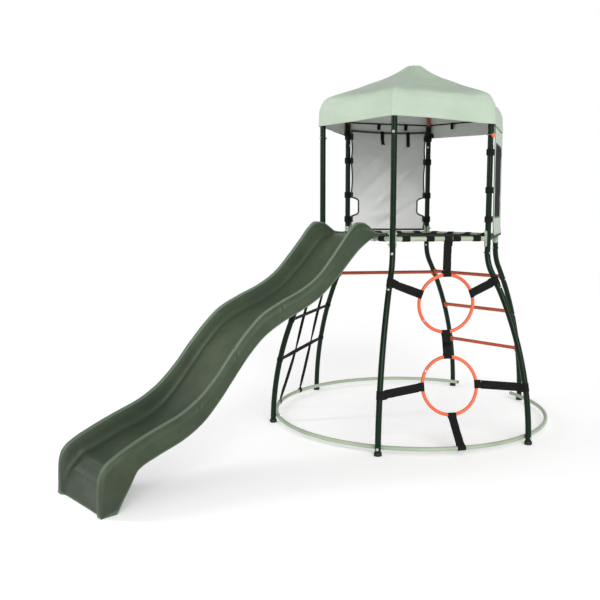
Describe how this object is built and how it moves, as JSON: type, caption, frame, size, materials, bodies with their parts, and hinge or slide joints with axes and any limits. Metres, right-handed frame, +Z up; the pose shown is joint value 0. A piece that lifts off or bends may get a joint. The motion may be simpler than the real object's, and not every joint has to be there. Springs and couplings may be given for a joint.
{
  "type": "dome climber",
  "caption": "Hexagonal outdoor climbing frame with bowed tube legs, raised platform, fabric roof and walls, wave slide, rung ladder, webbing net and hoops held in straps.",
  "frame": {"origin": "on the ground, at the centre of the footprint of tower and slide together", "axes": "+Z up; -Y the way the slide runs out, so the ladder is at +Y; +X to the right of someone who faces the slide's exit from outside looking along +Y, the side with the hoops"},
  "size_m": [1.8938, 3.2424, 2.281],
  "materials": {
    "dark_green_paint": "gloss powder coat",
    "mint_paint": "satin powder coat",
    "orange_paint": "gloss powder coat",
    "coral_paint": "gloss powder coat",
    "coral_plastic": "smooth moulded",
    "black_plastic": "moulded",
    "slide_plastic": "fine grain moulded polyethylene",
    "zinc": "zinc plated",
    "canopy_fabric": "coated woven polyester",
    "wall_fabric": "coated woven polyester",
    "webbing": "woven polypropylene webbing"
  },
  "bodies": {
    "frame": {"ball_toggle": "coral_plastic", "base_ring_1": "mint_paint", "base_ring_2": "mint_paint", "base_ring_3": "mint_paint", "base_ring_4": "mint_paint", "base_ring_5": "mint_paint", "canopy": "canopy_fabric", "climbing_net": "webbing", "deck_bar_front": "mint_paint", "deck_bar_front_left": "mint_paint", "deck_bar_front_right": "mint_paint", "deck_bar_rear": "mint_paint", "deck_bar_rear_left": "mint_paint", "deck_bar_rear_right": "mint_paint", "deck_mat": "webbing", "foot_cap_front_left": "black_plastic", "foot_cap_front_right": "black_plastic", "foot_cap_left": "black_plastic", "foot_cap_rear_left": "black_plastic", "foot_cap_rear_right": "black_plastic", "foot_cap_right": "black_plastic", "hoop_strap_bottom": "webbing", "hoop_strap_lower_left": "webbing", "hoop_strap_lower_right": "webbing", "hoop_strap_middle": "webbing", "hoop_strap_top": "webbing", "hoop_strap_upper_left": "webbing", "hoop_strap_upper_right": "webbing", "ladder_rung_1": "orange_paint", "ladder_rung_2": "orange_paint", "ladder_rung_3": "orange_paint", "leg_front_left": "dark_green_paint", "leg_front_right": "dark_green_paint", "leg_left": "dark_green_paint", "leg_rear_left": "dark_green_paint", "leg_rear_right": "dark_green_paint", "leg_right": "dark_green_paint", "post_front_left": "dark_green_paint", "post_front_right": "dark_green_paint", "post_left": "dark_green_paint", "post_rear_left": "dark_green_paint", "post_rear_right": "dark_green_paint", "post_right": "dark_green_paint", "rear_left_bar": "orange_paint", "roof_hub": "black_plastic", "roof_tube_front_left": "orange_paint", "roof_tube_front_right": "orange_paint", "roof_tube_left": "orange_paint", "roof_tube_rear_left": "orange_paint", "roof_tube_rear_right": "orange_paint", "roof_tube_right": "orange_paint", "slide": "slide_plastic", "slide_clamp_left": "zinc", "slide_clamp_right": "zinc", "wall_rear_left": "wall_fabric", "wall_rear_right": "canopy_fabric"},
    "upper_hoop_body": {"upper_hoop": "coral_paint"},
    "lower_hoop_body": {"lower_hoop": "coral_paint"},
    "wall_tie_1_body": {"wall_tie_1": "webbing"},
    "wall_tie_2_body": {"wall_tie_2": "webbing"}
  },
  "joints": [
    {"name": "upper_hoop_turn", "type": "hinge", "parent": "frame", "child": "upper_hoop_body", "pos_m": [0.53694, 0.41375, 0.827], "axis": [0.866, -0.5, 0], "range_deg": [-44, 44]},
    {"name": "lower_hoop_turn", "type": "hinge", "parent": "frame", "child": "lower_hoop_body", "pos_m": [0.60622, 0.37375, 0.355], "axis": [0.8388, -0.4843, 0.2487], "range_deg": [-47, 21]},
    {"name": "wall_tie_1_swing", "type": "hinge", "parent": "frame", "child": "wall_tie_1_body", "pos_m": [-0.47344, 0.93935, 1.925], "axis": [-0.5, -0.866, 0], "range_deg": [0, 80]},
    {"name": "wall_tie_2_swing", "type": "hinge", "parent": "frame", "child": "wall_tie_2_body", "pos_m": [-0.37694, 1.1065, 1.925], "axis": [-0.5, -0.866, 0], "range_deg": [0, 80]}
  ]
}
